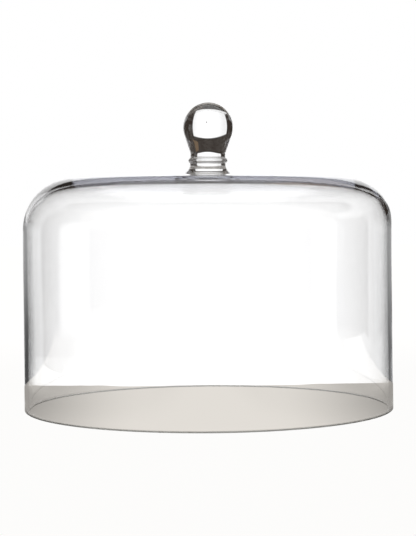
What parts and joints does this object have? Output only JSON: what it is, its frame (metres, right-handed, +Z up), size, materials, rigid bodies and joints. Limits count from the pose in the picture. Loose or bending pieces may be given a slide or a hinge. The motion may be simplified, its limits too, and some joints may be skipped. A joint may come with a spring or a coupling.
{
  "type": "glass cloche",
  "caption": "Wide straight-sided clear glass dome with a rounded shoulder, low crown and a solid glass ball knob on a collared stem, set down over food or plants.",
  "frame": {"origin": "centre of the rim's resting plane, on the axis of the dome", "axes": "+Z up along the axis, through the knob; the object is a body of revolution, so +X and +Y are any two level directions, and -Y is the side seen in the front view"},
  "size_m": [0.28, 0.28, 0.2325],
  "materials": {
    "blown_glass": "clear, blown, faint waviness, ground rim",
    "solid_glass": "clear solid glass, polished by the fire"
  },
  "bodies": {
    "root": {"dome_shell": "blown_glass", "stem_foot": "solid_glass", "collar_ring": "solid_glass", "ball_knob": "solid_glass"}
  },
  "joints": []
}
